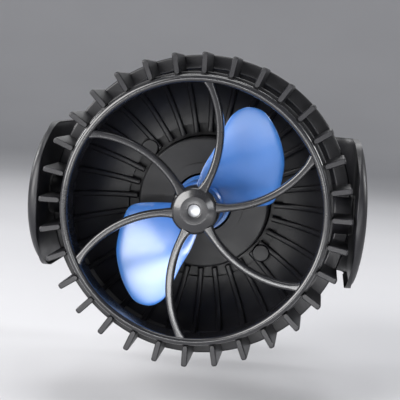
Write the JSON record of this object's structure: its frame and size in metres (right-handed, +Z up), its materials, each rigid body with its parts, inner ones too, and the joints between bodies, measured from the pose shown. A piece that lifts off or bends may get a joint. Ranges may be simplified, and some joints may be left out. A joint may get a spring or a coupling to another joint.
{
  "type": "aquarium wave maker pump",
  "caption": "Caged propeller pump for moving aquarium water, with swept-spoke grille, glossy blue impeller, tilting yoke and magnetic glass mount.",
  "frame": {"origin": "centre of the wet-side magnet pad's glass face", "axes": "+Y points from the pump into the glass and is the pump's axis at rest, +Z is up, +X is to the right when the front grille is looked at"},
  "size_m": [0.1128, 0.146, 0.104],
  "materials": {
    "black_plastic": "fine moulded texture, satin",
    "grille_plastic": "moulded, semi-gloss",
    "motor_plastic": "moulded, satin",
    "gland_plastic": "moulded nylon",
    "pin_plastic": "turned plastic, satin",
    "bearing_plastic": "dark bearing plastic, polished bore",
    "blue_blade": "glossy blue",
    "sleeve_plastic": "glossy blue, as the impeller",
    "ceramic_white": "polished white ceramic",
    "washer_ceramic": "ground ceramic",
    "pad_rubber": "matt rubber",
    "soft_rubber": "matt rubber",
    "seal_rubber": "red-brown seal rubber",
    "pad_felt": "dense felt",
    "ferrite": "dark sintered magnet",
    "core_iron": "laminated iron",
    "copper_winding": "enamelled copper wire",
    "epoxy": "cast epoxy",
    "stainless": "stainless steel"
  },
  "bodies": {
    "magnet_base": {"base_housing": "black_plastic", "base_magnet": "ferrite", "base_plate": "black_plastic", "base_pad": "pad_rubber", "swivel_ring": "soft_rubber", "swivel_washer": "stainless", "swivel_screw": "stainless"},
    "yoke": {"yoke": "black_plastic", "pivot_pins": "pin_plastic", "tilt_washers": "soft_rubber"},
    "pump": {"rear_cage": "black_plastic", "motor_housing": "motor_plastic", "rotor_well": "motor_plastic", "stator_core": "core_iron", "stator_coils": "copper_winding", "potting": "epoxy", "rear_bearing": "ceramic_white", "bearing_cushion": "soft_rubber", "motor_seal": "seal_rubber", "motor_end_cap": "motor_plastic", "cage_screws": "stainless", "gland_body": "gland_plastic", "gland_seal": "soft_rubber", "gland_nut": "gland_plastic"},
    "front_grille": {"front_grille": "grille_plastic", "front_bearing": "bearing_plastic"},
    "rotor": {"impeller": "blue_blade", "shaft": "ceramic_white", "rotor_magnet": "ferrite", "rotor_sleeve": "sleeve_plastic", "thrust_washers": "washer_ceramic"},
    "outer_magnet": {"outer_housing": "black_plastic", "outer_magnet": "ferrite", "outer_plate": "black_plastic", "outer_pad": "pad_felt"}
  },
  "joints": [
    {"name": "base_swivel", "type": "hinge", "parent": "magnet_base", "child": "yoke", "pos_m": [0, -0.024, 0], "axis": [0, 1, 0], "range_deg": [-180, 180]},
    {"name": "yoke_tilt", "type": "hinge", "parent": "yoke", "child": "pump", "pos_m": [0, -0.08, 0], "axis": [1, 0, 0], "range_deg": [-30, 30]},
    {"name": "impeller_spin", "type": "hinge", "parent": "pump", "child": "rotor", "pos_m": [0, -0.09, 0], "axis": [0, 1, 0], "continuous": true},
    {"name": "grille_twist", "type": "hinge", "parent": "pump", "child": "front_grille", "pos_m": [0, -0.104, 0], "axis": [0, -1, 0], "range_deg": [0, 20]},
    {"name": "outer_magnet_slide", "type": "slide", "parent": "magnet_base", "child": "outer_magnet", "axis": [0, 1, 0], "range_m": [-0.004, 0.03]}
  ]
}
